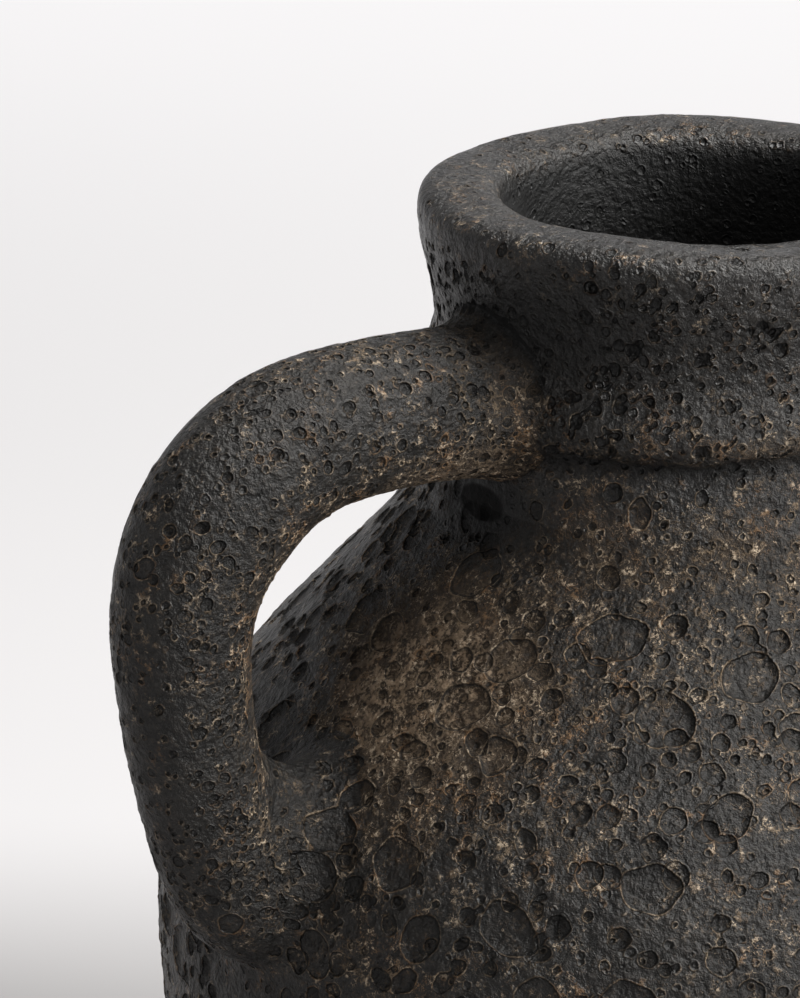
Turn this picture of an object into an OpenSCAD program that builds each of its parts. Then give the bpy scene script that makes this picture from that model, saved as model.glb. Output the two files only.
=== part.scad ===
// Black clay jug: a round-bellied jar with a thick lip and one rod handle, hand built from
// separate clay members luted together with lapped seams. Millimetres, +Z up, origin at the
// centre of the resting face, handle towards -X.

/* [Overall] */
// height from the resting face to the top of the lip
height = 266; // [220:1:320]
// thickness of the belly and shoulder wall
wall = 7; // [5:0.5:10]

/* [Belly] */
// largest outside radius of the belly
belly_r = 100; // [80:1:120]
// height of the largest radius
belly_z = 124; // [100:1:150]
// vertical semi-axis of the ellipse that forms the lower belly
belly_drop = 140; // [126:1:180]
// thickness of the floor
floor_t = 9; // [6:0.5:14]
// bevel where the wall meets the resting face
foot_bevel = 4; // [1:0.5:8]

/* [Shoulder] */
// radius of the shoulder's arc
shoulder_r = 74; // [60:1:90]
// angle above horizontal at which the arc gives way to a straight cone
shoulder_end = 43; // [35:1:50]
// radius of the hollow curve from the shoulder into the neck
throat_r = 20; // [8:1:30]

/* [Neck and lip] */
// outside radius of the neck at its foot
neck_r = 45.3; // [38:0.1:55]
// outside radius of the neck just above the collar
neck_top_r = 46.6; // [40:0.1:56]
// inside radius of the mouth and neck
mouth_r = 36; // [28:0.5:44]
// largest outside radius of the lip
lip_r = 50; // [42:0.5:58]
// depth of the lip member
lip_h = 19; // [12:1:28]
// rounding of the lip's two top edges
lip_round = 4; // [2:0.5:7]
// largest outside radius of the collar
collar_r = 48; // [46:0.1:54]
// radius of the coil that the collar is rolled from
collar_coil_r = 6.5; // [4:0.5:9]
// height of the collar's centre
collar_z = 233; // [224:1:240]

/* [Handle] */
// radius of the rod along its top arm
arm_r = 13; // [10:0.5:16]
// radius of the rod along its drop
rod_r = 12; // [8:0.5:15]
// extra radius where the rod bends
bend_swell = 0.5; // [0.3:0.1:2]
// radius of the gentle arch over the handle's top arm
arch_r = 150; // [90:5:220]
// radius of the handle's bend
bend_r = 33; // [20:1:45]
// radius of the handle's long drop
drop_r = 117; // [90:1:160]
// radius of the turn that tucks the drop into the shoulder
tuck_r = 16; // [14:1:30]
// how far the rod's centre reaches from the axis
reach = 111.5; // [100:0.5:130]
// height at which the rod's centre is farthest out
reach_z = 202; // [190:1:215]
// fall of the rod where the arch meets the bend, in degrees below horizontal
arch_fall = 4; // [1:1:20]
// sweep of the drop before it tucks in, in degrees
drop_sweep = 22.6; // [12:0.2:35]
// radius of the clay worked round the handle's upper root
upper_wad_r = 18; // [14:0.5:22]
// radius of the clay worked round the handle's lower root
lower_wad_r = 21; // [15:0.5:26]

/* [Seams] */
// height of the seam between floor and lower wall
seam_base = 6; // [4:0.5:10]
// height of the seam between lower wall and belly wall
seam_low = 60; // [45:1:80]
// height of the seam between belly wall and shoulder
seam_belly = 138; // [126:1:150]
// height of the seam between shoulder and neck
seam_neck = 214; // [208:1:222]
// how far each wall laps over the next one at a seam
lap = 4; // [2:0.5:6]

/* [Hidden] */
$fn = 96;
far = 400;
inner_r = belly_r - wall;
inner_drop = belly_drop - wall;
shoulder_x = belly_r - shoulder_r;
slope = 90 - shoulder_end;
cone_foot = [shoulder_x + shoulder_r * cos(shoulder_end), belly_z + shoulder_r * sin(shoulder_end)];
throat_z = cone_foot[1] + (cone_foot[0] - neck_r) * tan(slope) + throat_r * tan(shoulder_end / 2);
inner_throat_r = throat_r + wall;
inner_foot = [shoulder_x + (shoulder_r - wall) * cos(shoulder_end),
              belly_z + (shoulder_r - wall) * sin(shoulder_end)];
inner_throat_z = inner_foot[1] + (inner_foot[0] - mouth_r) * tan(slope)
               + inner_throat_r * tan(shoulder_end / 2);
seam_lip = height - lip_h;
bend_c = [reach - bend_r, reach_z];
drop_c = [reach - drop_r, reach_z];
tuck_c = drop_c + (drop_r - tuck_r) * [cos(drop_sweep), -sin(drop_sweep)];
arch_c = bend_c + (bend_r - arch_r) * [sin(arch_fall), cos(arch_fall)];
arch_root = acos((mouth_r - arch_c[0]) / arch_r);
upper_root_tilt = 90 - acos((neck_r - arch_c[0]) / arch_r);
lower_root_turn = 63;
tuck_end = 88;
bury = 0.8;

// points along an arc about c, from angle a0 to a1
function arc(c, r, a0, a1, n) = [for (i = [0:n]) let (a = a0 + (a1 - a0) * i / n) c + r * [cos(a), sin(a)]];
// points up an ellipse of semi-axes a and b about the belly's centre height, from z0 to z1
function swell(a, b, z0, z1, n) =
    [for (i = [0:n]) let (z = z0 + (z1 - z0) * i / n) [a * sqrt(1 - pow((belly_z - z) / b, 2)), z]];

outer = concat(
    [[0, 0], [swell(belly_r, belly_drop, 0, 1, 1)[0][0] - 1, 0]],
    swell(belly_r, belly_drop, foot_bevel, belly_z, 18),
    arc([shoulder_x, belly_z], shoulder_r, shoulder_end / 9, shoulder_end, 8),
    arc([neck_r + throat_r, throat_z], throat_r, 180 + shoulder_end, 180, 6),
    [[neck_r, collar_z - 4], [neck_top_r, collar_z + 5]],
    arc([lip_r - lip_round, height - lip_round], lip_round, 0, 90, 6),
    [[0, height]]);

cavity = concat(
    [[0, floor_t], [swell(inner_r, inner_drop, floor_t, far, 1)[0][0] - 4, floor_t]],
    swell(inner_r, inner_drop, floor_t + 3, belly_z, 18),
    arc([shoulder_x, belly_z], shoulder_r - wall, shoulder_end / 9, shoulder_end, 8),
    arc([mouth_r + inner_throat_r, inner_throat_z], inner_throat_r, 180 + shoulder_end, 180, 6),
    arc([mouth_r + lip_round, height - lip_round], lip_round, 180, 90, 6),
    [[mouth_r + lip_round, far], [0, far]]);

// radius of the middle of the wall at each seam, where its lap is cut
mid_base = 40;
mid_low = swell(belly_r - wall / 2, belly_drop - wall / 2, seam_low + lap / 2, far, 1)[0][0];
mid_belly = shoulder_x + sqrt(pow(shoulder_r - wall / 2, 2) - pow(seam_belly + lap / 2 - belly_z, 2));
mid_neck = (neck_r + mouth_r) / 2;
mid_lip = (lip_r + mouth_r) / 2;

// everything above a lapped seam
module above(z, mid) polygon([[0, z + lap], [mid, z + lap], [mid, z], [far, z], [far, far], [0, far]]);

module shell() difference() { polygon(outer); polygon(cavity); }

// one wall member: the shell between two lapped seams
module member(z0, mid0, z1, mid1)
    rotate_extrude() difference() {
        intersection() { shell(); above(z0, mid0); }
        above(z1, mid1);
    }

module collar_section()
    difference() {
        translate([collar_r - collar_coil_r, collar_z]) circle(collar_coil_r);
        polygon(outer);
    }

// the jar's outside with its hollow filled, used to trim what is luted onto it
module outside() { rotate_extrude() polygon(outer); rotate_extrude() collar_section(); }

// a length of rod bent about c in the handle's plane, from angle a0 up to a1
module bent_rod(c, r, a0, a1, thick)
    translate([c[0], 0, c[1]]) rotate([90, 0, 0]) rotate([0, 0, a0])
        rotate_extrude(angle = a1 - a0) translate([r, 0]) circle(thick);

// each thinner length of rod runs a little way inside the thicker one it meets
module rod() {
    bent_rod(arch_c, arch_r, 90 - arch_fall - bury, arch_root, arm_r);
    bent_rod(bend_c, bend_r, 0, 90 - arch_fall, arm_r + bend_swell);
    bent_rod(drop_c, drop_r, -drop_sweep - bury, bury, rod_r);
    bent_rod(tuck_c, tuck_r, -tuck_end, -drop_sweep, rod_r + bend_swell);
}

module base_disc()
    color("#232326") rotate_extrude() difference() {
        shell();
        above(seam_base, mid_base);
    }

module lower_wall() color("#252528") member(seam_base, mid_base, seam_low, mid_low);
module belly_wall() color("#28282b") member(seam_low, mid_low, seam_belly, mid_belly);
module shoulder() color("#2a2a2d") member(seam_belly, mid_belly, seam_neck, mid_neck);
module neck() color("#27272a") member(seam_neck, mid_neck, seam_lip, mid_lip);
module lip() color("#2c2c2f") member(seam_lip, mid_lip, far - lap, far);
module collar() color("#3a342d") rotate_extrude() collar_section();

module handle()
    color("#2b2b2e") rotate([0, 0, 180]) difference() { rod(); outside(); }

module upper_wad()
    color("#302d29") rotate([0, 0, 180]) difference() {
        translate([neck_r - 4, 0, arch_c[1] + sqrt(pow(arch_r, 2) - pow(neck_r - arch_c[0], 2))])
            rotate([0, 90 - upper_root_tilt, 0]) cylinder(r1 = upper_wad_r, r2 = arm_r + 1.5, h = 15);
        outside();
        rod();
    }

module lower_wad()
    color("#302d29") rotate([0, 0, 180]) difference() {
        translate([tuck_c[0], 0, tuck_c[1]]) rotate([0, lower_root_turn, 0])
            translate([tuck_r, 0, -8]) cylinder(r1 = lower_wad_r, r2 = rod_r + 2, h = 15);
        outside();
        rod();
    }

base_disc();
lower_wall();
belly_wall();
shoulder();
neck();
collar();
lip();
handle();
upper_wad();
lower_wad();
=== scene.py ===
"""Looks of the black clay jug: pitted, smoke-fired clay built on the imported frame."""

import itertools
import math

import bpy
import numpy as np
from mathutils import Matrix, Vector


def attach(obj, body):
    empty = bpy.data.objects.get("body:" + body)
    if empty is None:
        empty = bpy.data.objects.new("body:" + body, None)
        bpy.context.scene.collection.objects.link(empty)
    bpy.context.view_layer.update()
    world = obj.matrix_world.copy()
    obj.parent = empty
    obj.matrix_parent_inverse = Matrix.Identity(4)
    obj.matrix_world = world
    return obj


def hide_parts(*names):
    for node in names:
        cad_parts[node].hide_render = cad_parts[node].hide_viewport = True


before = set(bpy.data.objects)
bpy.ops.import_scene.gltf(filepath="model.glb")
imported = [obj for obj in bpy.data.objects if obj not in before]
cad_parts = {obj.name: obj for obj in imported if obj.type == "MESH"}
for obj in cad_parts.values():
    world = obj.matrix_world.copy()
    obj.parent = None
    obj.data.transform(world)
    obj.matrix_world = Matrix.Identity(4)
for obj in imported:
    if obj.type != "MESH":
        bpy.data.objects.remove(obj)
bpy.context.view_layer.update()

rng = np.random.default_rng(41)
MM = 0.001

# ---------------------------------------------------------------- sizes, in millimetres
HEIGHT, WALL, FLOOR = 266.0, 7.0, 9.0
# the belly's widest radius, its height, and how far the ellipse below it reaches down
BELLY_R, BELLY_Z, BELLY_DROP = 100.0, 124.0, 140.0
# radii of the arcs of shoulder and throat, and the angles at which they end
SHOULDER_R, SHOULDER_END = 74.0, 43.0
THROAT_R, THROAT_END = 20.0, 36.0
NECK_R, MOUTH_R = 45.3, 36.0
MID_R = (NECK_R + MOUTH_R) / 2
COLLAR_BACK_R, SEAM_GAP = 43.6, 0.3  # hidden faces between pieces
# height of the seam above each piece
SEAMS = {"base_disc": 6.0, "lower_wall": 60.0, "belly_wall": 138.0, "shoulder": 214.0, "neck": 247.0}
COLLAR_LOW, COLLAR_HIGH = 227.0, 240.0
# the wall's mesh: columns round the axis, and rows apart outside and inside
COLUMNS = 800
ROW_STEP, INNER_STEP = 0.8, 2.4


# ---------------------------------------------------------------- noise
PERM = rng.permutation(256)
TABLE = rng.uniform(-1.0, 1.0, 256)


def noise(p, size, seed=0):
    """Smooth value noise in -1..1 at points p, with features about size mm across."""
    q = p / size + seed * 17.31
    cell = np.floor(q).astype(np.int64)
    f = q - cell
    f = f * f * (3.0 - 2.0 * f)
    out = np.zeros(p.shape[:-1])
    for dx in (0, 1):
        hx = PERM[(cell[..., 0] + dx) & 255]
        wx = f[..., 0] if dx else 1.0 - f[..., 0]
        for dy in (0, 1):
            hy = PERM[(hx + cell[..., 1] + dy) & 255]
            wy = wx * (f[..., 1] if dy else 1.0 - f[..., 1])
            for dz in (0, 1):
                hz = PERM[(hy + cell[..., 2] + dz) & 255]
                out += TABLE[hz] * wy * (f[..., 2] if dz else 1.0 - f[..., 2])
    return out


def smooth(a, b, x):
    """0 at a, 1 at b, with an S-shaped slope between; a may be above b."""
    t = np.clip((x - a) / (b - a), 0.0, 1.0)
    return t * t * (3.0 - 2.0 * t)


# ---------------------------------------------------------------- outline of the wall
def arc(cx, cz, r, a0, a1, n=40):
    """Points on a circle from angle a0 to a1, in degrees."""
    a = np.radians(np.linspace(a0, a1, n))
    return np.stack([cx + r * np.cos(a), cz + r * np.sin(a)], -1)


def swell(a, b, z0, z1, n=80):
    """Points on the lower belly, a half ellipse of radii a and b."""
    z = np.linspace(z0, z1, n)
    return np.stack([a * np.sqrt(1.0 - ((BELLY_Z - z) / b) ** 2), z], -1)


def spline(points, per=10):
    """Catmull-Rom curve through the points."""
    p = np.array(points, float)
    p = np.vstack([2 * p[0] - p[1], p, 2 * p[-1] - p[-2]])
    t = np.linspace(0, 1, per, endpoint=False)[:, None]
    out = [
        0.5 * (2 * b + (c - a) * t + (2 * a - 5 * b + 4 * c - d) * t**2 + (3 * b - a - 3 * c + d) * t**3)
        for a, b, c, d in zip(p[:-3], p[1:-2], p[2:-1], p[3:])
    ]
    return np.vstack(out + [p[-2:-1]])


def resample(points, step):
    """The same curve with points about step apart."""
    s = np.r_[0.0, np.cumsum(np.linalg.norm(np.diff(points, axis=0), axis=1))]
    n = max(2, int(round(s[-1] / step)) + 1)
    u = np.linspace(0, s[-1], n)
    return np.stack([np.interp(u, s, points[:, k]) for k in range(points.shape[1])], -1)


# the shoulder's arc runs into a straight slope, and that into the throat's arc, outside and inside
END = math.radians(SHOULDER_END)
SHOULDER_X = BELLY_R - SHOULDER_R
CONE_FOOT = (SHOULDER_X + SHOULDER_R * math.cos(END), BELLY_Z + SHOULDER_R * math.sin(END))
THROAT_Z = CONE_FOOT[1] + (CONE_FOOT[0] - NECK_R) / math.tan(END) + THROAT_R * math.tan(END / 2)
IN_R, IN_THROAT = SHOULDER_R - WALL, THROAT_R + WALL
IN_FOOT = (SHOULDER_X + IN_R * math.cos(END), BELLY_Z + IN_R * math.sin(END))
IN_THROAT_Z = IN_FOOT[1] + (IN_FOOT[0] - MOUTH_R) / math.tan(END) + IN_THROAT * math.tan(END / 2)

FOOT = spline([(42, 0), (45.5, 0.2), (48.8, 1.2), (51.0, 3.0), (52.9, 5.4)])
BODY = np.vstack([
    swell(BELLY_R, BELLY_DROP, 6.5, BELLY_Z),
    arc(SHOULDER_X, BELLY_Z, SHOULDER_R, 2, SHOULDER_END),
    arc(NECK_R + THROAT_R, THROAT_Z, THROAT_R, 180 + SHOULDER_END, 180 + THROAT_END),
    # the throat steepens into the groove under the collar
    spline([(48.6, 209.6), (47.5, 212.8), (46.8, 216.0)])[2:],
])
# groove, collar, neck, lip, and back down inside the mouth
NECK_LIP = [
    (46.3, 219.0), (45.8, 222.0), (45.2, 224.6), (45.1, 226.3), (46.2, 227.6), (48.1, 229.2),
    (49.1, 231.8), (48.9, 234.8), (47.7, 238.2),
    (46.9, 241.8), (47.3, 247), (48.1, 251.5), (49.0, 255.5), (49.6, 258.8), (49.9, 261.5), (49.7, 263.7),
    (48.7, 265.2), (46.6, 265.9), (43.5, 266.0), (40.5, 265.9), (38.1, 265.6), (36.4, 264.8), (35.3, 263.1),
    (34.9, 260.6), (34.8, 255.5), (35.0, 248),
]
INSIDE = np.vstack([
    spline([(35.1, 248), (35.5, 238), (35.9, 230)]),
    arc(MOUTH_R + IN_THROAT, IN_THROAT_Z, IN_THROAT, 180, 180 + SHOULDER_END),
    arc(SHOULDER_X, BELLY_Z, IN_R, SHOULDER_END, 2),
    swell(BELLY_R - WALL, BELLY_DROP - WALL, BELLY_Z, 16.5),
    [(47.5, 12.5), (43.0, 10.0), (38.0, FLOOR)],
])

outer_line = resample(np.vstack([FOOT, BODY, spline(NECK_LIP)]), ROW_STEP)
inner_line = resample(INSIDE, INNER_STEP)[1:]
line = np.vstack([outer_line, inner_line])
top_row = int(np.argmax(outer_line[:, 1]))

theta = np.linspace(0, 2 * math.pi, COLUMNS, endpoint=False)
cos_t, sin_t = np.cos(theta), np.sin(theta)


def ring_grid(profile):
    """Points and outward normals of the profile turned round the axis."""
    d = np.gradient(profile, axis=0)
    d /= np.linalg.norm(d, axis=1)[:, None]
    n_r, n_z = d[:, 1], -d[:, 0]
    r, z = profile[:, :1], profile[:, 1:]
    p = np.stack([r * cos_t, r * sin_t, np.repeat(z, COLUMNS, 1)], -1)
    n_r, n_z = n_r[:, None], n_z[:, None]
    n = np.stack([n_r * cos_t, n_r * sin_t, np.repeat(n_z, COLUMNS, 1)], -1)
    return p, n


wall_p, wall_n = ring_grid(line)

# ---------------------------------------------------------------- the handle's rod
# its middle line is four arcs: an arch out of the neck, a bend, a drop and a tuck into the shoulder
REACH, REACH_Z, BEND_R, ARCH_R, DROP_R, TUCK_R = 111.5, 202.0, 33.0, 150.0, 117.0, 16.0
FALL, DROP_SWEEP, TUCK_END = 4.0, 22.6, 78.0
ROOT_X = 41.0  # where it starts, inside the neck's wall
ROD_SIDES, ROD_STEP = 176, 0.46
fall = math.radians(FALL)
bend_c = np.array([REACH - BEND_R, REACH_Z])
arch_c = bend_c + (BEND_R - ARCH_R) * np.array([math.sin(fall), math.cos(fall)])
drop_c = np.array([REACH - DROP_R, REACH_Z])
sweep = math.radians(DROP_SWEEP)
tuck_c = drop_c + (DROP_R - TUCK_R) * np.array([math.cos(sweep), -math.sin(sweep)])
root_angle = math.degrees(math.acos((ROOT_X - arch_c[0]) / ARCH_R))
rod_line = resample(np.vstack([
    arc(*arch_c, ARCH_R, root_angle, 90 - FALL)[:-1],
    arc(*bend_c, BEND_R, 90 - FALL, 0)[:-1],
    arc(*drop_c, DROP_R, 0, -DROP_SWEEP)[:-1],
    arc(*tuck_c, TUCK_R, -DROP_SWEEP, -TUCK_END),
]), ROD_STEP)
# radius at fractions of the rod's length, from its upper root
ROD_RADII = [
    (0.0, 13.7), (0.12, 13.45), (0.25, 13.55), (0.42, 14.2), (0.55, 12.5), (0.68, 11.5), (0.8, 11.5),
    (0.9, 11.9), (1.0, 12.8),
]


def rod_radius(u):
    """Radius of the rod at fraction u of its length."""
    x, y = zip(*ROD_RADII)
    fine = np.linspace(0, 1, 200)
    coarse = np.interp(fine, x, y)
    for _ in range(3):
        coarse = np.convolve(np.pad(coarse, 8, mode="edge"), np.ones(17) / 17, "valid")
    return np.interp(u, fine, coarse)


def rod_frames(path):
    """Centres and in-plane outward directions of the rod, whose plane is Y = 0 towards -X."""
    t = np.gradient(path, axis=0)
    t /= np.linalg.norm(t, axis=1)[:, None]
    centre = np.stack([-path[:, 0], np.zeros(len(path)), path[:, 1]], -1)
    out = np.stack([t[:, 1], np.zeros(len(path)), t[:, 0]], -1)
    return centre, out


SIDE = np.array([0.0, 1.0, 0.0])
phi = np.linspace(0, 2 * math.pi, ROD_SIDES, endpoint=False)
rod_u = np.linspace(0, 1, len(rod_line))
rod_c, rod_out = rod_frames(rod_line)
rod_r = rod_radius(rod_u)
rod_n = np.cos(phi)[None, :, None] * rod_out[:, None, :] + np.sin(phi)[None, :, None] * SIDE
rod_p = rod_c[:, None, :] + rod_r[:, None, None] * rod_n

# ---------------------------------------------------------------- clay worked round the rod's roots
outer_seg = outer_line[8:top_row]  # the outside, from the foot's rounding to the lip's top


def wall_distance(p):
    """Signed distance from points to the wall's outside, and its outward direction there."""
    q = np.stack([np.hypot(p[..., 0], p[..., 1]), p[..., 2]], -1)
    a, b = outer_seg[:-1], outer_seg[1:]
    ab = b - a
    rel = q[..., None, :] - a
    t = np.clip((rel * ab).sum(-1) / (ab * ab).sum(-1), 0, 1)
    off = rel - t[..., None] * ab
    d2 = (off * off).sum(-1)
    k = d2.argmin(-1)
    best = np.take_along_axis(off, k[..., None, None], -2)[..., 0, :]
    seg = ab[k]
    sign = np.sign(best[..., 0] * seg[..., 1] - best[..., 1] * seg[..., 0])
    dist = np.sqrt(np.take_along_axis(d2, k[..., None], -1)[..., 0]) * sign
    nrm = np.stack([seg[..., 1], -seg[..., 0]], -1)
    nrm /= np.linalg.norm(nrm, axis=-1)[..., None]
    c, s = p[..., 0] / q[..., 0], p[..., 1] / q[..., 0]
    return dist, np.stack([nrm[..., 0] * c, nrm[..., 0] * s, nrm[..., 1]], -1)


def lower_wad(sides=184, steps=26):
    """The clay round the lower root: its face is the hollow left by a ball rolled between rod and wall."""
    a = np.linspace(0, 2 * math.pi, sides, endpoint=False)
    # widest in the crotch, tight at the toe
    radius = 8.0 - 3.4 * np.cos(a) + 1.0 * np.sin(2 * a + 0.6)
    rows = len(rod_line)
    reach_rows = np.arange(rows)[::-1][: rows // 2]
    dirs = np.cos(a)[None, :, None] * rod_out[reach_rows, None, :] + np.sin(a)[None, :, None] * SIDE
    ball_c = rod_c[reach_rows, None, :] + (rod_r[reach_rows, None] + radius[None, :])[..., None] * dirs
    dist, _ = wall_distance(ball_c)
    first = np.maximum((dist > radius[None, :]).argmax(0), 1)
    cols = np.arange(sides)
    d0, d1 = dist[first - 1, cols], dist[first, cols]
    w = np.clip((radius - d0) / np.where(abs(d1 - d0) < 1e-9, 1.0, d1 - d0), 0, 1)
    centre = ball_c[first - 1, cols] * (1 - w[:, None]) + ball_c[first, cols] * w[:, None]
    to_rod = -(dirs[first - 1, cols] * (1 - w[:, None]) + dirs[first, cols] * w[:, None])
    to_rod /= np.linalg.norm(to_rod, axis=1)[:, None]
    _, wall_dir = wall_distance(centre)
    to_wall = -wall_dir
    turn = np.arccos(np.clip((to_rod * to_wall).sum(-1), -1, 1))
    grid_p, grid_n = [], []
    for k in np.linspace(-0.16, 1.16, steps):
        ww = np.clip(k, 0, 1)
        d = (np.sin((1 - ww) * turn) / np.sin(turn))[:, None] * to_rod
        d = d + (np.sin(ww * turn) / np.sin(turn))[:, None] * to_wall
        p = centre + radius[:, None] * d
        over = max(0.0, -k, k - 1.0)
        cosine = (to_wall * to_rod).sum(-1)[:, None]
        along = to_wall - cosine * to_rod if k < 0 else to_rod - cosine * to_wall
        along /= np.linalg.norm(along, axis=1)[:, None]
        p = p - along * (over * 9.0) + d * (over * over * 26.0)
        grid_p.append(p)
        grid_n.append(-d)
    between = (to_rod + to_wall) / np.linalg.norm(to_rod + to_wall, axis=1)[:, None]
    corner = centre + (radius / np.maximum(np.cos(turn / 2), 0.35))[:, None] * between
    back = [grid_p[-1] * 0.5 + corner * 0.5 + 0.8 * to_wall, corner + 0.9 * (to_wall + to_rod),
            grid_p[0] * 0.5 + corner * 0.5 + 0.8 * to_rod]
    return np.stack(grid_p), np.stack(grid_n), np.stack(back)


def upper_pad(sides=200, steps=34):
    """The clay pressed round the upper root: it flows off the rod, and ends in a rolled edge on the neck."""
    a = np.linspace(0, 2 * math.pi, sides, endpoint=False)
    top = smooth(-0.6, 0.3, np.cos(a))[:, None]
    length = 7.0 + 0.6 * np.sin(2 * a + 0.5)[:, None]
    width = 0.9 + 4.1 * top + 0.3 * np.sin(3 * a + 2.0)[:, None]
    rows = len(rod_line) // 2
    dirs = np.cos(a)[None, :, None] * rod_out[:rows, None, :] + np.sin(a)[None, :, None] * SIDE
    skin = rod_c[:rows, None, :] + rod_r[:rows, None, None] * dirs
    dist, _ = wall_distance(skin)
    first = np.maximum((dist > 0).argmax(0), 1)
    cols = np.arange(sides)
    corner, away = skin[first, cols], dirs[first, cols]
    _, wall_dir = wall_distance(corner)
    on_rod = skin[first + np.round(length[:, 0] / ROD_STEP).astype(int), cols]
    level = away - (away * wall_dir).sum(-1)[:, None] * wall_dir
    level /= np.linalg.norm(level, axis=1)[:, None]
    on_wall = corner + width * level
    off, on_dir = wall_distance(on_wall)
    on_wall = on_wall - (off[:, None] + 0.15) * on_dir
    flow = corner - on_rod
    flow /= np.linalg.norm(flow, axis=1)[:, None]
    p1 = on_rod + flow * length * 0.55 + away * 0.2 * (1 - top)
    p2 = (on_wall - level * width * 0.6) * top + (on_wall + on_dir * 1.5 + level * 0.2) * (1 - top)
    t = np.linspace(0, 1, steps)[:, None, None]
    face = (1 - t) ** 3 * on_rod + 3 * t * (1 - t) ** 2 * p1 + 3 * t**2 * (1 - t) * p2 + t**3 * on_wall
    lead = [on_rod - flow * 1.6 - away * 0.9, on_rod - flow * 0.7 - away * 0.2]
    tail = [on_wall - on_dir * 0.8 + level * 0.1, on_wall - on_dir * 2.0 - level * 0.8]
    grid_p = np.concatenate([np.stack(lead), face, np.stack(tail)])
    normal = np.cross(np.roll(grid_p, -1, 1) - np.roll(grid_p, 1, 1), np.gradient(grid_p, axis=0))
    normal /= np.maximum(np.linalg.norm(normal, axis=-1), 1e-9)[..., None]
    if (normal[steps // 2] * away).sum() < 0:
        normal = -normal
    back = [corner - on_dir * 2.6 - away * 1.5, corner - on_dir * 1.2 - away * 2.2,
            on_rod - flow * 0.4 - away * 2.2]
    return grid_p, normal, np.stack(back)


up_p, up_n, up_back = upper_pad()
low_p, low_n, low_back = lower_wad()

# ---------------------------------------------------------------- all surface points together
blocks = {"wall": (wall_p, wall_n), "rod": (rod_p, rod_n), "up": (up_p, up_n), "low": (low_p, low_n)}
start, flat_p, flat_n = {}, [], []
count = 0
for key, (p, n) in blocks.items():
    start[key] = count
    flat_p.append(p.reshape(-1, 3))
    flat_n.append(n.reshape(-1, 3))
    count += flat_p[-1].shape[0]
P, N = np.vstack(flat_p), np.vstack(flat_n)
X, Y, Z = P.T
# the rod and the clay round its roots, as against the wall
is_rod = np.zeros(count, bool)
is_rod[start["rod"]:] = True
# the first dozen rows past the top still belong to the lip's rounding
inside_row = np.repeat(np.arange(len(line)) > top_row + 12, COLUMNS)
is_inside = np.zeros(count, bool)
is_inside[: len(inside_row)] = inside_row
is_under = (Z < 7.0) & ~is_inside

# ---------------------------------------------------------------- craters left by the firing
CELL, GAP_CELL = 9.0, 12.0  # cubes of space for finding neighbours, wider than any crater
NEIGHBOURS = np.array(list(itertools.product((-1, 0, 1), repeat=3)))
OWN = len(NEIGHBOURS) // 2


def cube_number(ijk):
    """One number for a cube of space, from its place in a grid of cubes."""
    return (ijk + 500) @ np.array([1000000, 1000, 1])


own_cube = cube_number(np.floor(P / CELL).astype(np.int64))
by_cube = np.argsort(own_cube, kind="stable")
numbers, first_at, n_at = np.unique(own_cube[by_cube], return_index=True, return_counts=True)
cubes = {int(k): by_cube[i:i + n] for k, i, n in zip(numbers, first_at, n_at)}


def near(c):
    """The surface points in the cubes round a place."""
    around_c = cube_number(np.floor(c / CELL).astype(np.int64) + NEIGHBOURS).tolist()
    found = [cubes[k] for k in around_c if k in cubes]
    return np.concatenate(found) if found else np.zeros(0, int)


def wall_spots(n, low=0.0, high=HEIGHT):
    """Random points and normals spread evenly over the wall's outside between two heights."""
    past_top = top_row + 8  # a few rows over the lip's top
    seg = np.linalg.norm(np.diff(line[:past_top], axis=0), axis=1) * line[1:past_top, 0]
    seg = seg * ((line[1:past_top, 1] >= low) & (line[1:past_top, 1] <= high))
    row = rng.choice(len(seg), n, p=seg / seg.sum())
    col = rng.integers(0, COLUMNS, n)
    return wall_p[row, col], wall_n[row, col], row * COLUMNS + col


def rod_spots(n):
    """Random points and normals spread evenly over the rod."""
    row = rng.integers(0, len(rod_line), n)
    col = rng.integers(0, ROD_SIDES, n)
    return rod_p[row, col], rod_n[row, col], start["rod"] + row * ROD_SIDES + col


IN_LARGE = 0.07  # chance of a further crater inside a large one
NECK_FROM, NECK_WITHIN, NECK_SHRINK = 224.0, 52.0, 0.6  # craters on the neck are smaller


def spread(spots, radii, chance, gap):
    """Keeps the spots that pass the chance and stay gap times their radii apart, the largest first."""
    p, n, at = spots
    keep = rng.random(len(p)) < chance(p) * np.where(edge["pit_a"][at] < -0.4, IN_LARGE, 1.0)
    p, n, r = p[keep], n[keep], radii(int(keep.sum()))
    on_neck = (p[:, 2] > NECK_FROM) & (np.hypot(p[:, 0], p[:, 1]) < NECK_WITHIN)
    r = r * np.where(on_neck, NECK_SHRINK, 1.0)
    order = np.argsort(-r)
    p, n, r = p[order], n[order], r[order]
    around_p = cube_number(np.floor(p / GAP_CELL).astype(np.int64)[:, None] + NEIGHBOURS).tolist()
    table, out = {}, []
    for i, cube in enumerate(around_p):
        close = [j for k in cube for j in table.get(k, ())]
        if all(((p[i] - p[j]) ** 2).sum() >= (gap * (r[i] + r[j])) ** 2 for j in close):
            table.setdefault(cube[OWN], []).append(i)
            out.append(i)
    return p[out], n[out], r[out]


def wall_chance(large):
    """The chance of a crater over the wall: in clumps, with few on the groove and the lip."""
    def chance(p):
        clump = 0.62 + 0.75 * noise(p, 26.0, 3) + 0.35 * noise(p, 11.0, 4)
        z = p[:, 2]
        neck = smooth(216, 224, z)
        collar = np.where(z > 226, 1.1, 0.25) * (1 - smooth(238, 243, z))
        upper = smooth(240, 246, z) * (1 - 0.6 * smooth(258, 264, z))
        level = (1 - neck) + neck * (collar + upper) * (0.08 if large else 1.0)
        return np.clip(clump, 0.06, 1.0) * level * (z > 8)
    return chance


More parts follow.
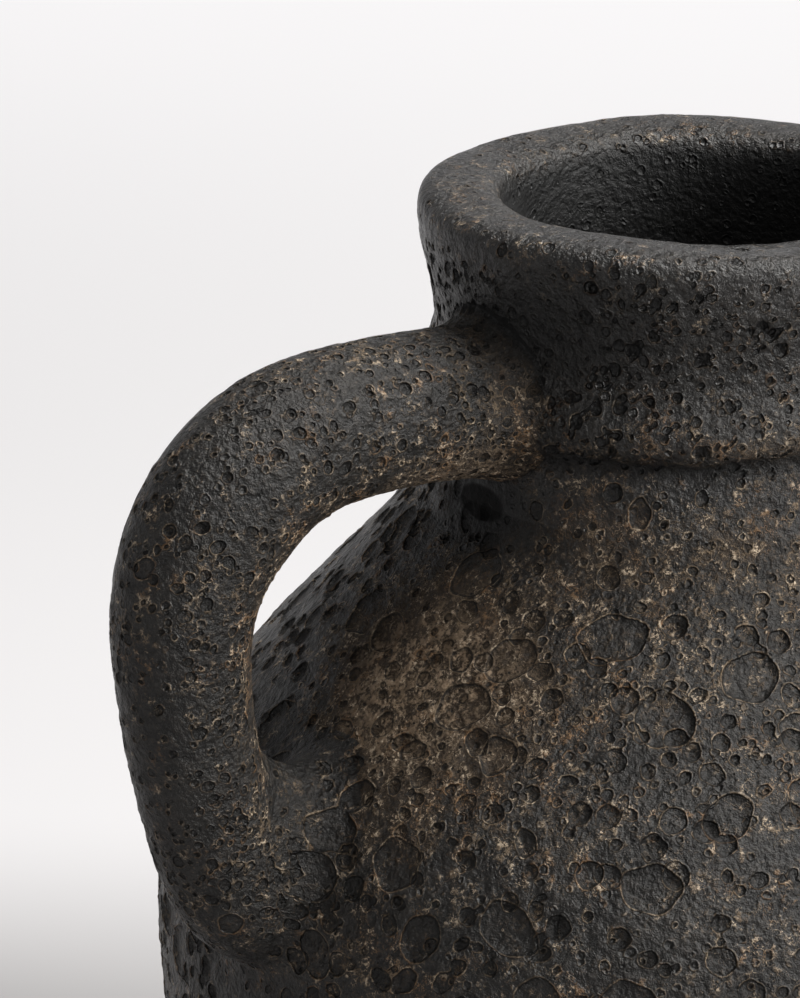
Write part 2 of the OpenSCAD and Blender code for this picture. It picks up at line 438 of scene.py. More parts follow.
def neck_chance(p):
    """The chance of one more small crater on the neck."""
    return np.clip(0.04 + 0.13 * noise(p, 15.0, 14), 0.005, 1.0) * (1 - 0.7 * smooth(257, 263, p[:, 2]))


def rod_chance(p):
    """The chance of a crater over the rod."""
    return np.clip(0.6 + 0.8 * noise(p, 14.0, 5), 0.1, 1.0)


def sized(low, high, power):
    """Random radii from low to high; a higher power makes more of them small."""
    return lambda n: low + (high - low) * rng.random(n) ** power


FAR = 4.0  # the distance written where no crater is near
# two layers of craters: the distance to the nearest edge, negative inside, and how deep it is
edge = {"pit_a": np.full(count, FAR), "pit_b": np.full(count, FAR)}
deep = {"pit_a": np.zeros(count), "pit_b": np.zeros(count)}


def stamp(name, p, n, r, depth):
    """Lays each crater's outline into a layer as the distance to its edge."""
    dist, hole = edge[name], deep[name]
    up = np.where(abs(n[:, 2:]) > 0.9, [[1.0, 0, 0]], [[0, 0, 1.0]])
    e1 = np.cross(up, n)
    e1 /= np.linalg.norm(e1, axis=1)[:, None]
    e2 = np.cross(n, e1)
    spin, phase = rng.uniform(0, 2 * math.pi, (2, len(p)))
    stretch = 1.0 + 0.22 * rng.random(len(p)) ** 2
    wave = rng.uniform(0.01, 0.055, (3, len(p)))
    lobe = rng.uniform(0, 2 * math.pi, (3, len(p)))
    depths = depth(r) * rng.uniform(0.6, 1.25, len(p)) * np.where(p[:, 2] > 226, 1.7, 1.0)
    for i in range(len(p)):
        idx = near(p[i])
        rel = P[idx] - p[i]
        ok = (N[idx] @ n[i] > 0.25) & (abs(rel @ n[i]) < r[i] + 1.5)
        idx, rel = idx[ok], rel[ok]
        u, v = rel @ e1[i], rel @ e2[i]
        c, s = math.cos(spin[i]), math.sin(spin[i])
        u, v = (c * u + s * v) / stretch[i], (c * v - s * u) * stretch[i]
        rho, ang = np.hypot(u, v), np.arctan2(v, u)
        rim = r[i] * (1 + wave[0, i] * np.cos(2 * ang + lobe[0, i])
                      + wave[1, i] * np.cos(3 * ang + lobe[1, i]) + wave[2, i] * np.cos(5 * ang + phase[i]))
        d = rho - rim
        nearer = d < dist[idx]
        dist[idx[nearer]] = d[nearer]
        hole[idx[nearer]] = depths[i]


# each kind of crater: how many are tried, their radii, where, and how close; then their depths
large = spread(wall_spots(1050), sized(2.4, 5.4, 1.9), wall_chance(True), 1.0)
stamp("pit_a", *large, lambda r: 0.34 + 0.07 * r)
rod_big = spread(rod_spots(16), sized(2.0, 3.0, 1.5), rod_chance, 1.0)
stamp("pit_a", *rod_big, lambda r: 0.10 + 0.03 * r)
medium = spread(wall_spots(10500), sized(0.85, 2.5, 2.6), wall_chance(False), 0.9)
stamp("pit_b", *medium, lambda r: 0.28 + 0.20 * r)
neck_small = spread(wall_spots(26000, 226, 264), sized(0.75, 1.9, 2.6), neck_chance, 0.95)
stamp("pit_b", *neck_small, lambda r: 0.14 + 0.20 * r)
rod_small = spread(rod_spots(3000), sized(0.5, 1.35, 3.4), rod_chance, 0.95)
stamp("pit_b", *rod_small, lambda r: 0.14 + 0.18 * r)

# ---------------------------------------------------------------- height of the surface
def spot(centre, size):
    """1 at a place on the jug, fading smoothly away from it."""
    return np.exp(-(((P - centre) / size) ** 2).sum(-1))


def band(z, size):
    """1 at a height, fading smoothly above and below it."""
    return np.exp(-(((Z - z) / size) ** 2))


on_wall = ~is_rod
# the shoulder by the handle: lumpier, with thick dust whose pale clods are partly painted light
near_handle = spot((-67, -10, 185), (19, 26, 17)) * on_wall
wobble = (0.55 * noise(P, 46.0, 1) + 0.30 * noise(P, 21.0, 2)) * np.where(is_rod, 0.3, 1.0)
lumps = 0.11 * noise(P, 2.6, 7) + 0.09 * noise(P, 1.7, 8)
lumps = (0.13 * noise(P, 5.0, 6) + lumps * (1 + 2.0 * near_handle)) * np.where(is_rod, 0.75, 1.0)
jag = {"pit_a": 0.13 * noise(P, 2.2, 9), "pit_b": 0.10 * noise(P, 1.6, 10)}
height = wobble + lumps
for name, wide, rim in (("pit_a", 0.85, 0.15), ("pit_b", 0.65, 0.12)):
    edge[name] = edge[name] + jag[name]
    sunk = smooth(0.05, -wide, edge[name])
    height = height - deep[name] * sunk * (1 + 0.25 * noise(P, 2.4, 11))
    height = height + rim * np.exp(-(((edge[name] - 0.36) / 0.40) ** 2)) * (deep[name] > 0)

# calmer inside, towards the lip and under the foot
calm = np.where(is_inside, 0.3, 1.0 - 0.35 * smooth(256, 264, Z))
calm = calm * np.where(is_under, smooth(0.2, 6.0, Z), 1.0)
Q = P + N * (height * calm)[:, None]
# the lip is not quite level
lip_zone = smooth(236, 262, Z) * on_wall
angle = np.arctan2(Y, X)
Q[:, 2] += lip_zone * (0.45 * np.sin(2 * angle + 0.7) + 0.25 * np.sin(5 * angle + 2.0))
# the collar was smoothed down by hand, so its foot wanders
collar_foot = band(227.0, 5.5) * on_wall * ~is_inside
Q[:, 2] += collar_foot * (1.1 * noise(P, 17.0, 15) + 0.45 * noise(P, 6.0, 16))
# nothing goes below the resting face
Q[:, 2] = np.maximum(Q[:, 2], 0.0)

# ---------------------------------------------------------------- dust, polish, and soot with painted shade and shadow
dust = 0.175 + 0.28 * noise(P, 34.0, 12) + 0.22 * noise(P, 12.0, 13)
# dust on the shoulder by the handle, where its pale clods are also made paler as painted light, below the
# groove, on the collar, and little on the neck
dust = dust + 1.35 * near_handle + 0.30 * spot((-62, -26, 182), (34, 36, 30)) * on_wall
dust = dust + 0.40 * band(214, 8.0) * smooth(-58, -36, X) * on_wall
dust = dust + 0.54 * band(231.5, 3.8) * smooth(-44, -34, X) * on_wall
dust = dust - 0.25 * smooth(238, 246, Z) * (1 - smooth(258, 264, Z)) * on_wall
# dust on the rod's inner side and round its upper root
rod_inner = np.zeros(count)
rod_inner[start["rod"]:start["up"]] = np.tile(-np.cos(phi), len(rod_line))
dust = dust + 0.58 * smooth(-0.1, 1.0, rod_inner)
on_pad = slice(start["up"], start["low"])
pad_rows = np.linspace(0, 1, up_p.shape[0])[:, None] * np.ones((1, up_p.shape[1]))
dust[on_pad] += 0.12 * (smooth(0.1, 0.6, pad_rows) * smooth(246, 238, up_p[..., 2])).ravel()
dust = dust + 0.46 * is_rod * smooth(74, 50, np.hypot(X, Y)) * (Z > 190)
# hands have polished the lip away from the handle, most at the front: dust below 0 means polish
polish = smooth(256, 262, Z) * smooth(-36, -16, X) * on_wall * ~is_inside
polish = polish * (0.3 + 0.7 * smooth(-5, 25, -0.57 * X - 0.82 * Y))
dust = np.where(polish > 0, dust * (1 - polish) - 0.4 * polish, np.clip(dust, 0, 1.9))

# painted shade in the collar's groove, in the crease round the upper root and in the mouth; painted shadow
# of the handle on the shoulder under it; soot and the handle's painted shadow on the neck above the handle
groove = band(226.3, 2.3) * on_wall * ~is_inside
neck_soot_and_shadow = spot((-42, -9, 249), (21, 36, 13)) * smooth(265, 259, Z)
under_handle = spot((-47, 0, 214), (9, 18, 9)) * on_wall
crease = np.zeros(count)
crease[on_pad] = smooth(0.55, 0.95, pad_rows).ravel()
mouth = is_inside * smooth(267, 260, Z) * (0.5 + 0.6 * smooth(195, 236, Z))
soot_and_shade = 0.85 * groove + 0.9 * neck_soot_and_shadow + 1.3 * under_handle + 0.6 * crease + mouth
fields = {"pit_a": edge["pit_a"], "pit_b": edge["pit_b"], "dust": dust, "soot_and_shade": np.clip(soot_and_shade, 0, 1.2)}


# ---------------------------------------------------------------- meshes
def grid_faces(rows, cols, closed_rows=False):
    """Quads of a grid whose columns wrap round, as an array of vertex numbers."""
    r = np.arange(rows if closed_rows else rows - 1)[:, None]
    c = np.arange(cols)[None, :]
    nxt_r, nxt_c = (r + 1) % rows, (c + 1) % cols
    quads = [r * cols + c, r * cols + nxt_c, nxt_r * cols + nxt_c, nxt_r * cols + c]
    return np.stack(quads, -1).reshape(-1, 4)


def end_fans(rows, cols):
    """Triangles from a grid's first and last rows to two points numbered after the grid."""
    c = np.arange(cols)
    nxt, last, tip = (c + 1) % cols, (rows - 1) * cols, rows * cols
    return np.vstack([np.stack([nxt, c, np.full(cols, tip)], -1),
                      np.stack([last + c, last + nxt, np.full(cols, tip + 1)], -1)])


def make(name, verts, quads, data, node, material, tris=np.zeros((0, 3), int), normals=None):
    mesh = bpy.data.meshes.new(name)
    mesh.vertices.add(len(verts))
    mesh.vertices.foreach_set("co", (verts * MM).astype(np.float32).ravel())
    loops = np.concatenate([quads.ravel(), tris.ravel()])
    sizes = np.concatenate([np.full(len(quads), 4), np.full(len(tris), 3)])
    mesh.loops.add(len(loops))
    mesh.loops.foreach_set("vertex_index", loops.astype(np.int32))
    mesh.polygons.add(len(sizes))
    mesh.polygons.foreach_set("loop_start", np.r_[0, np.cumsum(sizes)[:-1]].astype(np.int32))
    mesh.polygons.foreach_set("use_smooth", np.ones(len(sizes), bool))
    mesh.update(calc_edges=True)
    mesh.validate()
    for key, values in data.items():
        layer = mesh.attributes.new(key, "FLOAT", "POINT")
        layer.data.foreach_set("value", values.astype(np.float32))
    if normals is not None:
        mesh.normals_split_custom_set_from_vertices(normals)
    mesh.materials.append(material)
    ob = bpy.data.objects.new(name, mesh)
    bpy.context.scene.collection.objects.link(ob)
    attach(ob, "root")
    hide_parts(node)


def smooth_normals(grid):
    """Smooth normals of a grid whose columns wrap round."""
    n = np.cross(np.roll(grid, -1, 1) - np.roll(grid, 1, 1), np.gradient(grid, axis=0))
    return n / np.maximum(np.linalg.norm(n, axis=-1), 1e-9)[..., None]


rows = len(line)
wall_q = Q[:rows * COLUMNS].reshape(rows, COLUMNS, 3)
wall_f = {k: v[:rows * COLUMNS].reshape(rows, COLUMNS) for k, v in fields.items()}
wall_vn = smooth_normals(wall_q)


def seam_rows(idx, lowest):
    """The row among idx that is nearest each seam's height."""
    return {k: int(idx[np.argmin(abs(line[idx, 1] - max(z, lowest)))]) for k, z in SEAMS.items()}


out_at = seam_rows(np.arange(top_row + 1), 0)
in_at = seam_rows(np.arange(top_row + 1, rows), FLOOR + 1.5)


# a ring piece is made of parts; each is its points, its normals, and its rows in the wall if it has them
def strip(first, last):
    """A part that is seen: rows of the wall."""
    at = np.arange(first, last + 1)
    return wall_q[at], wall_vn[at], at


def hidden(points, facing=None):
    """A part inside the clay: one ring of points, whose normals face outward unless told."""
    normal = np.stack([cos_t, sin_t, 0 * cos_t], -1) if facing is None else np.array(facing)
    return points, np.broadcast_to(normal, points.shape), None


def ring(r, z):
    """A level ring of points."""
    return np.stack([r * cos_t, r * sin_t, np.full(COLUMNS, z)], -1)[None]


def gather(parts):
    """The points, normals and fields of parts laid one after another."""
    points, normals, at = zip(*parts)
    none = np.zeros((1, COLUMNS))
    data = {k: np.vstack([none if a is None else wall_f[k][a] for a in at]).ravel() for k in fields}
    return np.vstack(points), np.vstack(normals).reshape(-1, 3), data


def ring_piece(node, parts, material):
    """A ring whose cross-section is a closed loop of parts."""
    points, normals, data = gather(parts)
    quads = grid_faces(len(points), COLUMNS, closed_rows=True)
    make("clay_" + node, points.reshape(-1, 3), quads, data, node, material, normals=normals)


# ---------------------------------------------------------------- clay
class Nodes:
    """Short-hand for building a node tree."""

    def __init__(self, tree):
        self.tree = tree

    def new(self, kind, **values):
        node = self.tree.nodes.new(kind)
        for key, value in values.items():
            setattr(node, key, value)
        return node

    def put(self, socket, value):
        if isinstance(value, bpy.types.NodeSocket):
            self.tree.links.new(value, socket)
        elif value is not None:
            socket.default_value = value

    def math(self, op, a, b=None, c=None, clamp=False):
        node = self.new("ShaderNodeMath", operation=op, use_clamp=clamp)
        for socket, value in zip(node.inputs, (a, b, c)):
            self.put(socket, value)
        return node.outputs[0]

    def times(self, *values):
        out = values[0]
        for value in values[1:]:
            out = self.math("MULTIPLY", out, value)
        return out

    def centred(self, value, tall):
        """A 0..1 value made to vary about nothing, times tall."""
        return self.times(self.math("SUBTRACT", value, 0.5), tall)

    def ramp(self, value, lo, hi, to_lo=0.0, to_hi=1.0):
        node = self.new("ShaderNodeMapRange", interpolation_type="SMOOTHSTEP", clamp=True)
        names = ("Value", "From Min", "From Max", "To Min", "To Max")
        for key, v in zip(names, (value, lo, hi, to_lo, to_hi)):
            self.put(node.inputs[key], v)
        return node.outputs["Result"]

    def noise(self, vector, scale, detail=3.0, rough=0.55, output="Fac"):
        node = self.new("ShaderNodeTexNoise")
        for key, v in (("Vector", vector), ("Scale", scale), ("Detail", detail), ("Roughness", rough)):
            self.put(node.inputs[key], v)
        return node.outputs[output]

    def cells(self, vector, scale):
        """Distance to the nearest cell's middle, and two random numbers of that cell."""
        node = self.new("ShaderNodeTexVoronoi")
        self.put(node.inputs["Vector"], vector)
        self.put(node.inputs["Scale"], scale)
        split = self.new("ShaderNodeSeparateColor")
        self.put(split.inputs[0], node.outputs["Color"])
        return node.outputs["Distance"], split.outputs[0], split.outputs[1]

    def mix(self, fac, a, b):
        node = self.new("ShaderNodeMix", data_type="RGBA")
        self.put(node.inputs[0], fac)
        self.put(node.inputs[6], a)
        self.put(node.inputs[7], b)
        return node.outputs[2]

    def field(self, name):
        return self.new("ShaderNodeAttribute", attribute_name=name).outputs["Fac"]


def clay(name, grit, satin, gloss, pit_shade, small):
    """Smoke-fired clay: charcoal skin, brown dust, pale crust on parts of the crater rims, painted shade in
    craters and pin-holes.

    grit scales the fine relief, satin is the clean skin's roughness, gloss its specular level,
    pit_shade how dark the painted shade in a crater's floor is, and small the share of cells without a small
    crater.
    """
    mat = bpy.data.materials.new(name)
    mat.use_nodes = True
    mat.node_tree.nodes.clear()
    k = Nodes(mat.node_tree)
    times, centred = k.times, k.centred
    shader, out = k.new("ShaderNodeBsdfPrincipled"), k.new("ShaderNodeOutputMaterial")
    k.put(out.inputs[0], shader.outputs[0])
    # places in millimetres, and the same moved about a little so that small craters aren't round
    scaled = k.new("ShaderNodeVectorMath", operation="SCALE")
    k.put(scaled.inputs[0], k.new("ShaderNodeTexCoord").outputs["Object"])
    scaled.inputs["Scale"].default_value = 1 / MM
    mm = scaled.outputs[0]
    warp = k.new("ShaderNodeVectorMath", operation="MULTIPLY_ADD")
    k.put(warp.inputs[0], k.noise(mm, 0.8, 2.0, 0.5, "Color"))
    warp.inputs[1].default_value = (0.9, 0.9, 0.9)
    k.put(warp.inputs[2], mm)
    mm_w = warp.outputs[0]

    pit_a, pit_b, dust, soot_and_shade = (k.field(n) for n in ("pit_a", "pit_b", "dust", "soot_and_shade"))
    lump = k.noise(mm, 0.60, 1.0, 0.5)
    fine = k.noise(mm, 1.5, 3.0, 0.6)
    grain = k.noise(mm, 3.2, 2.0, 0.6)
    blotch = k.noise(mm, 0.085, 4.0, 0.6)
    patch = k.noise(mm, 0.28, 3.0, 0.6)
    clods = k.noise(mm, 0.46, 2.0, 0.55)
    # ragged distance to the nearest crater edge, its rim, and the steep wall within
    rag = centred(k.noise(mm, 1.6, 2.0), 0.34)
    edge_a, edge_b = k.math("ADD", pit_a, rag), k.math("ADD", pit_b, rag)
    rim_a = times(k.ramp(edge_a, -0.18, 0.02), k.ramp(edge_a, 0.34, 0.06))
    rim_b = times(k.ramp(edge_b, -0.16, 0.02), k.ramp(edge_b, 0.30, 0.05))
    rims = k.math("MAXIMUM", rim_a, rim_b)
    wall_a = times(k.ramp(edge_a, -0.75, -0.30), k.ramp(edge_a, 0.0, -0.18))
    wall_b = times(k.ramp(edge_b, -0.60, -0.25), k.ramp(edge_b, 0.0, -0.15))
    # small craters, 0.4 to 0.9 mm in radius, and pin-holes
    middle_s, pick_s, _ = k.cells(mm_w, 0.36)
    here_s = times(k.ramp(pick_s, small, small + 0.02), k.ramp(pit_a, -0.5, 0.0, 0.12, 1.0))
    edge_s = times(k.math("SUBTRACT", middle_s, k.ramp(pick_s, 0.30, 1.10, 0.16, 0.36)), 2.8)
    floor_s = times(k.ramp(edge_s, 0.02, -0.38), here_s)
    rim_s = times(k.ramp(edge_s, -0.12, 0.05), k.ramp(edge_s, 0.32, 0.08), here_s)
    middle_p, _, pick_p = k.cells(mm_w, 0.80)
    edge_p = k.math("SUBTRACT", middle_p, k.ramp(pick_p, 0.6, 1.1, 0.12, 0.30))
    pins = times(k.ramp(edge_p, 0.03, -0.12), k.ramp(pick_p, 0.76, 0.78))
    # fine curling ridges of crust
    curl = k.ramp(k.math("ABSOLUTE", k.math("SUBTRACT", k.noise(mm, 0.62, 1.0), 0.5)), 0.028, 0.0)
    curl = times(curl, k.ramp(k.math("MULTIPLY_ADD", dust, 0.15, patch), 0.54, 0.66))

    # colour: skin
    relief = k.math("ADD", times(lump, 0.55), times(fine, 0.45))
    base = k.mix(k.ramp(blotch, 0.35, 0.68), SKIN[0], SKIN[1])
    base = k.mix(times(k.ramp(relief, 0.46, 0.62), 0.6), base, SKIN[2])
    # dust over it, in pale clods where it is thick; on the shoulder by the handle the clods' paleness is
    # partly painted light
    dust_here = k.math("ADD", dust, centred(patch, 1.2))
    dusty = times(k.ramp(k.math("ADD", dust_here, centred(fine, 1.2)), 0.34, 1.05), 0.92)
    base = k.mix(dusty, base, EARTH[0])
    tan = times(k.ramp(dust_here, 0.78, 1.6), k.ramp(k.math("ADD", clods, centred(fine, 0.8)), 0.44, 0.59))
    base = k.mix(times(tan, 0.9), base, TAN)
    # crust on rims, ridges, crests and in flecks
    line_noise = k.noise(mm, 0.45, 3.0, 0.6)
    crust = times(k.math("MAXIMUM", rim_b, times(rim_s, 0.9)), k.ramp(line_noise, 0.42, 0.56))
    crust = k.math("MAXIMUM", crust, times(rim_a, k.ramp(line_noise, 0.34, 0.50)))
    crust = k.math("MAXIMUM", crust, times(curl, 0.8))
    crest = k.ramp(k.math("ADD", centred(grain, 0.35), relief), 0.535, 0.62)
    crest_here = k.ramp(k.math("MULTIPLY_ADD", dust, 0.12, patch), 0.52, 0.66)
    crust = k.math("MAXIMUM", crust, times(crest, k.ramp(edge_a, -0.6, -0.2, 0.4, 1.0), crest_here))
    fleck_here = k.ramp(k.math("MULTIPLY_ADD", dust, 0.25, patch), 0.45, 0.70, 0.1, 0.8)
    flecks = times(k.ramp(k.noise(mm, 1.9, 2.0, 0.6), 0.60, 0.67), fleck_here,
                   k.ramp(edge_a, -0.6, -0.2, 0.3, 1.0))
    crust_gate = k.ramp(k.math("ADD", times(dust, 0.5), patch), 0.45, 0.90, 0.22, 1.0)
    crust = times(k.math("MAXIMUM", crust, flecks), crust_gate, k.ramp(soot_and_shade, 0.2, 1.0, 1.0, 0.12))
    base = k.mix(crust, base, k.mix(k.ramp(k.noise(mm, 0.13, 2.0), 0.50, 0.62), EARTH[1], RUST))
    bright = times(crust, k.ramp(fine, 0.46, 0.58), k.ramp(k.noise(mm, 0.4, 2.0), 0.46, 0.58))
    base = k.mix(bright, base, EARTH[2])
    # painted shade in crater walls, crater floors and pin-holes, then the soot, darker still with painted
    # shade and shadow
    shade = k.math("MAXIMUM", times(k.math("MAXIMUM", wall_a, wall_b), 0.75), times(floor_s, 0.7))
    shade = k.math("MAXIMUM", shade, times(k.ramp(edge_b, -0.15, -0.45), pit_shade))
    base = k.mix(k.math("MAXIMUM", shade, times(pins, 0.9)), base, SHADE_AND_SOOT[0])
    base = k.mix(k.math("MULTIPLY", soot_and_shade, 0.95, clamp=True), base, SHADE_AND_SOOT[1])
    k.put(shader.inputs["Base Color"], base)

    # gloss: skin is satin, polish is smoother, dust and thick soot with its painted shade are flat
    rough = k.ramp(k.math("ADD", times(dusty, 0.8), centred(fine, 0.6)), -0.1, 0.7, satin, 0.80)
    rough = k.math("SUBTRACT", rough, k.ramp(dust, -0.05, -0.4, 0.0, 0.14))
    rough_in_soot_and_shade = k.math("ADD", k.ramp(soot_and_shade, 0.2, 0.9, 0.15, 0.55), k.ramp(soot_and_shade, 1.12, 1.18, 0.0, 0.40))
    k.put(shader.inputs["Roughness"], k.math("MAXIMUM", rough, rough_in_soot_and_shade))
    shader.inputs["Specular IOR Level"].default_value = gloss

    # relief finer than the mesh, in millimetres
    h = centred(lump, 0.95 * grit)
    for value, tall in ((fine, 0.60), (grain, 0.20)):
        h = k.math("MULTIPLY_ADD", k.math("SUBTRACT", value, 0.5), tall * grit, h)
    sunk_a, sunk_b = k.ramp(edge_a, 0.05, -0.28), k.ramp(edge_b, 0.05, -0.28)
    for value, tall in ((rims, 0.22), (sunk_a, -0.56), (sunk_b, -0.40), (floor_s, -0.70), (rim_s, 0.20),
                        (pins, -0.50), (curl, 0.14)):
        h = k.math("MULTIPLY_ADD", value, tall, h)
    h = times(h, k.ramp(soot_and_shade, 0.9, 1.2, 1.0, 0.35))
    h = k.math("MULTIPLY_ADD", times(k.math("SUBTRACT", clods, 0.5), k.ramp(dust, 0.7, 1.5)), 3.2, h)
    bump = k.new("ShaderNodeBump")
    bump.inputs["Strength"].default_value = 1.0
    bump.inputs["Distance"].default_value = MM
    k.put(bump.inputs["Height"], h)
    k.put(shader.inputs["Normal"], bump.outputs[0])
    return mat


# skin in three tones; thin dust, crust and its brightest grains; rusty crust; thick dust, partly made paler
# as painted light; painted shade in craters, and soot with painted shade and shadow
SKIN = [(0.0108, 0.0103, 0.0098, 1), (0.0211, 0.0197, 0.0182, 1), (0.0385, 0.0342, 0.030, 1)]
EARTH = [(0.058, 0.041, 0.027, 1), (0.190, 0.138, 0.088, 1), (0.58, 0.47, 0.345, 1)]
RUST = (0.230, 0.135, 0.068, 1)
TAN = (0.37, 0.27, 0.178, 1)
SHADE_AND_SOOT = [(0.005, 0.005, 0.005, 1), (0.003, 0.003, 0.003, 1)]
wall_clay = clay("wall_clay", grit=1.0, satin=0.36, gloss=0.36, pit_shade=0.28, small=0.42)
neck_clay = clay("neck_clay", grit=0.9, satin=0.29, gloss=0.50, pit_shade=0.76, small=0.40)
handle_clay = clay("handle_clay", grit=1.1, satin=0.35, gloss=0.36, pit_shade=0.35, small=0.26)

# ---------------------------------------------------------------- the ten pieces
for low, node in (("base_disc", "lower_wall"), ("lower_wall", "belly_wall"), ("belly_wall", "shoulder")):
    outside, within = strip(out_at[low], out_at[node]), strip(in_at[node], in_at[low])
    seam_high = (outside[0][-1] + within[0][0]) / 2 - [0, 0, SEAM_GAP]
    seam_low = (within[0][-1] + outside[0][0]) / 2 + [0, 0, SEAM_GAP]
    ring_piece(node, [outside, hidden(seam_high[None], (0, 0, 1.0)), within,
                                   hidden(seam_low[None], (0, 0, -1.0))], wall_clay)

# neck: below the collar, a hidden groove behind it, then up to the lip
low_row, high_row = (int(np.argmin(abs(line[:top_row, 1] - z))) for z in (COLLAR_LOW, COLLAR_HIGH))
ring_piece("neck", [
    strip(out_at["shoulder"], low_row),
    hidden(ring(COLLAR_BACK_R - 0.2, COLLAR_LOW - SEAM_GAP)),
    hidden(ring(COLLAR_BACK_R - 0.2, COLLAR_HIGH + SEAM_GAP)),
    strip(high_row, out_at["neck"]),
    hidden(ring(MID_R + 1, SEAMS["neck"] - SEAM_GAP)),
    strip(in_at["neck"], in_at["shoulder"]),
    hidden(ring(MID_R, SEAMS["shoulder"] + SEAM_GAP)),
], neck_clay)
ring_piece("collar", [
    strip(low_row, high_row),
    hidden(ring(COLLAR_BACK_R + 0.2, COLLAR_HIGH - SEAM_GAP)),
    hidden(ring(COLLAR_BACK_R + 0.2, COLLAR_LOW + SEAM_GAP)),
], neck_clay)
ring_piece("lip", [
    strip(out_at["neck"], in_at["neck"]),
    hidden(ring(MID_R + 1, SEAMS["neck"] + SEAM_GAP)),
], neck_clay)

# floor slab: rings and a middle point below, the outside up to its seam, the inside floor, and rings
# and a middle point above
up, down = (np.broadcast_to([0, 0, z], (1, COLUMNS, 3)) for z in (1.0, -1.0))
slab = [(ring(r, 0.0), down, [0]) for r in (15, 30)]
slab += [strip(0, out_at["base_disc"]), (ring(49.5, SEAMS["base_disc"] + 0.2), up, None),
         strip(in_at["base_disc"], rows - 1)]
slab += [(ring(r, FLOOR), up, [rows - 1]) for r in (30, 20, 10)]
points, normals, data = gather(slab)
middles = [[0, 0, 0.0], [0, 0, FLOOR]]
at_middles = {"pit_a": FAR, "pit_b": FAR, "dust": 0.5, "soot_and_shade": 0.5}
make("clay_base_disc", np.vstack([points.reshape(-1, 3), middles]), grid_faces(len(points), COLUMNS),
     {k: np.r_[v, [at_middles[k]] * 2] for k, v in data.items()}, "base_disc", wall_clay,
     end_fans(len(points), COLUMNS), np.vstack([normals, [[0, 0, -1.0], [0, 0, 1.0]]]))


def block(key):
    """The finished points of a block as a grid, and its fields."""
    shape = blocks[key][0].shape[:2]
    at = slice(start[key], start[key] + shape[0] * shape[1])
    return Q[at].reshape(*shape, 3), {k: v[at] for k, v in fields.items()}


# the rod: a tube with a capped end buried in the wall at each root
tube, tube_f = block("rod")
n_rows, n_sides = tube.shape[:2]
make("clay_handle", np.vstack([tube.reshape(-1, 3), tube[[0, -1]].mean(1)]), grid_faces(n_rows, n_sides),
     {k: np.r_[v, v[:2]] for k, v in tube_f.items()}, "handle", handle_clay,
     end_fans(n_rows, n_sides))

# the clay round its roots: a face, closed behind by rows inside the clay
for key, behind, node in (("up", up_back, "upper_wad"), ("low", low_back, "lower_wad")):
    face, face_f = block(key)
    points = np.vstack([face, behind])
    plain = np.zeros(behind.shape[0] * behind.shape[1])
    make("clay_" + node, points.reshape(-1, 3), grid_faces(len(points), face.shape[1], closed_rows=True),
         {k: np.r_[v, plain] for k, v in face_f.items()}, node, handle_clay)

# ---------------------------------------------------------------- floor, light and camera
# the camera looks down at the left of the neck from 0.8 m; the aim is left of and below the lip's middle
AZIMUTH, ELEVATION, DISTANCE = math.radians(-35.0), math.radians(20.0), 0.8
AIM_LEFT, AIM_BELOW = 0.05345, 0.05745
LENS, SENSOR = 158.7174, 36.0
flat_back = Vector((math.sin(AZIMUTH), -math.cos(AZIMUTH), 0))
back_dir = flat_back * math.cos(ELEVATION) + Vector((0, 0, math.sin(ELEVATION)))
right_dir = Vector((math.cos(AZIMUTH), math.sin(AZIMUTH), 0))
aim = Vector((0, 0, HEIGHT * MM)) - right_dir * AIM_LEFT - back_dir.cross(right_dir) * AIM_BELOW

bpy.ops.mesh.primitive_plane_add(size=24)
floor = bpy.context.active_object
floor.name = "floor"
fmat = bpy.data.materials.new("floor")
fmat.use_nodes = True
ft = Nodes(fmat.node_tree)
fsh = fmat.node_tree.nodes["Principled BSDF"]
fsh.inputs["Roughness"].default_value = 0.9
floor_at = ft.new("ShaderNodeTexCoord").outputs["Object"]


def along(direction):
    """How far a floor point lies along a level direction, in metres."""
    dot = ft.new("ShaderNodeVectorMath", operation="DOT_PRODUCT")
    ft.put(dot.inputs[0], floor_at)
    dot.inputs[1].default_value = direction
    return dot.outputs["Value"]


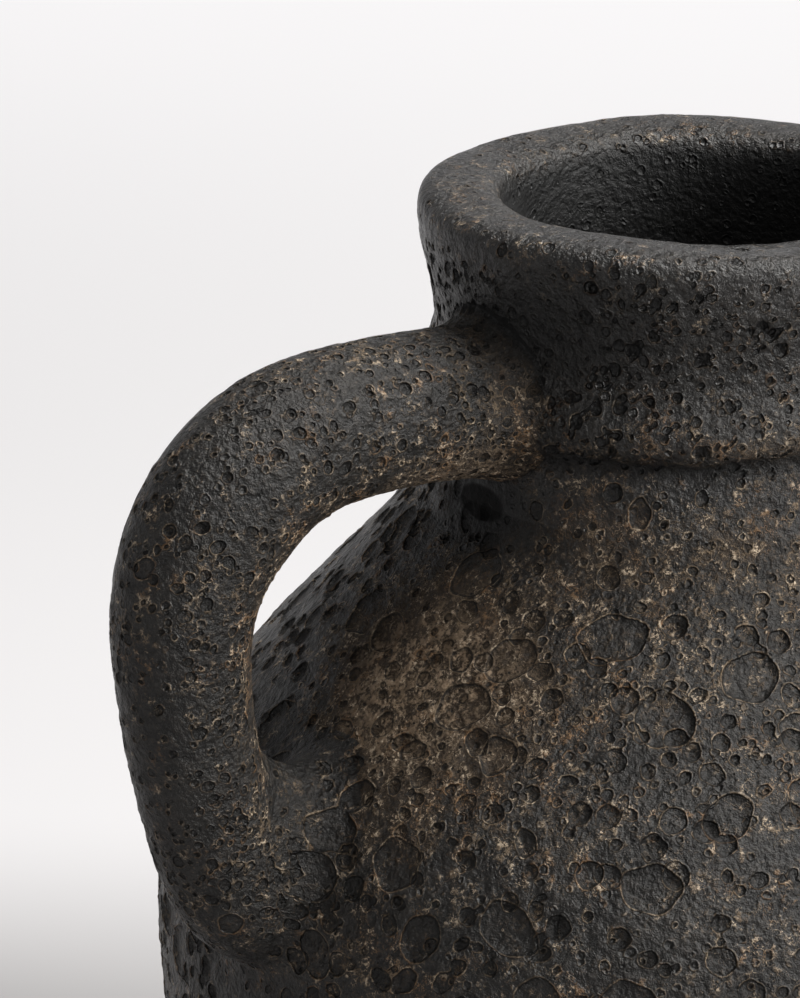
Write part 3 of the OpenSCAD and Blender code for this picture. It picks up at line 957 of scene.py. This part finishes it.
# it glows behind the jug, as a backdrop would, and a little far off on every side
away = along(-flat_back)
behind = ft.math("ADD", ft.ramp(away, 0.17, 0.32, 0.0, 0.43), ft.ramp(away, 0.55, 1.45, 0.0, 0.30))
middle = ft.ramp(ft.math("ABSOLUTE", along(right_dir)), 0.80, 0.26)
from_axis = ft.new("ShaderNodeVectorMath", operation="LENGTH")
ft.put(from_axis.inputs[0], floor_at)
far_off = ft.ramp(from_axis.outputs["Value"], 0.55, 1.7, 0.0, 0.38)
fsh.inputs["Base Color"].default_value = (0.36, 0.352, 0.354, 1)
fsh.inputs["Specular IOR Level"].default_value = 0.0
fsh.inputs["Emission Color"].default_value = (1, 0.99, 1, 1)
ft.put(fsh.inputs["Emission Strength"], ft.math("MAXIMUM", ft.math("MULTIPLY", behind, middle), far_off))
floor.data.materials.append(fmat)


def area(name, at, size, watts, color, look=(0, 0, 0.16)):
    """A soft lamp turned towards a point of the jug."""
    lamp = bpy.data.lights.new(name, "AREA")
    lamp.shape = "RECTANGLE"
    lamp.size, lamp.size_y = size
    lamp.energy = watts
    lamp.color = color
    ob = bpy.data.objects.new(name, lamp)
    ob.location = at
    ob.rotation_euler = (Vector(look) - Vector(at)).to_track_quat("-Z", "Y").to_euler()
    bpy.context.scene.collection.objects.link(ob)


def placed(r, b, u):
    """A point r to the camera's right, b towards it and u up, from the jug's middle, in metres."""
    return Vector((0, 0, 0.15)) + right_dir * r + flat_back * b + Vector((0, 0, u))


area("top", placed(0.50, -0.30, 1.20), (0.9, 0.7), 23, (1.0, 0.99, 0.97))
area("window", placed(1.15, 0.50, 0.68), (0.5, 0.8), 21, (1.0, 0.99, 0.97))
area("front", placed(-0.30, 0.75, 1.25), (0.35, 0.35), 3.5, (1.0, 0.97, 0.93))

# a dim ceiling above a paler horizon
world = bpy.data.worlds.new("studio")
world.use_nodes = True
wt = Nodes(world.node_tree)
sky = wt.new("ShaderNodeSeparateXYZ")
wt.put(sky.inputs[0], wt.new("ShaderNodeTexCoord").outputs["Generated"])
sky_node = world.node_tree.nodes["Background"]
sky_node.inputs["Color"].default_value = (0.97, 0.97, 1.0, 1)
wt.put(sky_node.inputs["Strength"], wt.ramp(sky.outputs["Z"], 0.08, 0.25, 0.55, 0.10))
bpy.context.scene.world = world
bpy.context.scene.view_settings.view_transform = "Standard"

cam = bpy.data.cameras.new("camera")
cam.lens, cam.sensor_width = LENS, SENSOR
cam.clip_start, cam.clip_end = 0.05, 50
cam_ob = bpy.data.objects.new("camera", cam)
cam_ob.location = aim + back_dir * DISTANCE
cam_ob.rotation_euler = (-back_dir).to_track_quat("-Z", "Y").to_euler()
bpy.context.scene.collection.objects.link(cam_ob)
bpy.context.scene.camera = cam_ob

bpy.context.view_layer.update()
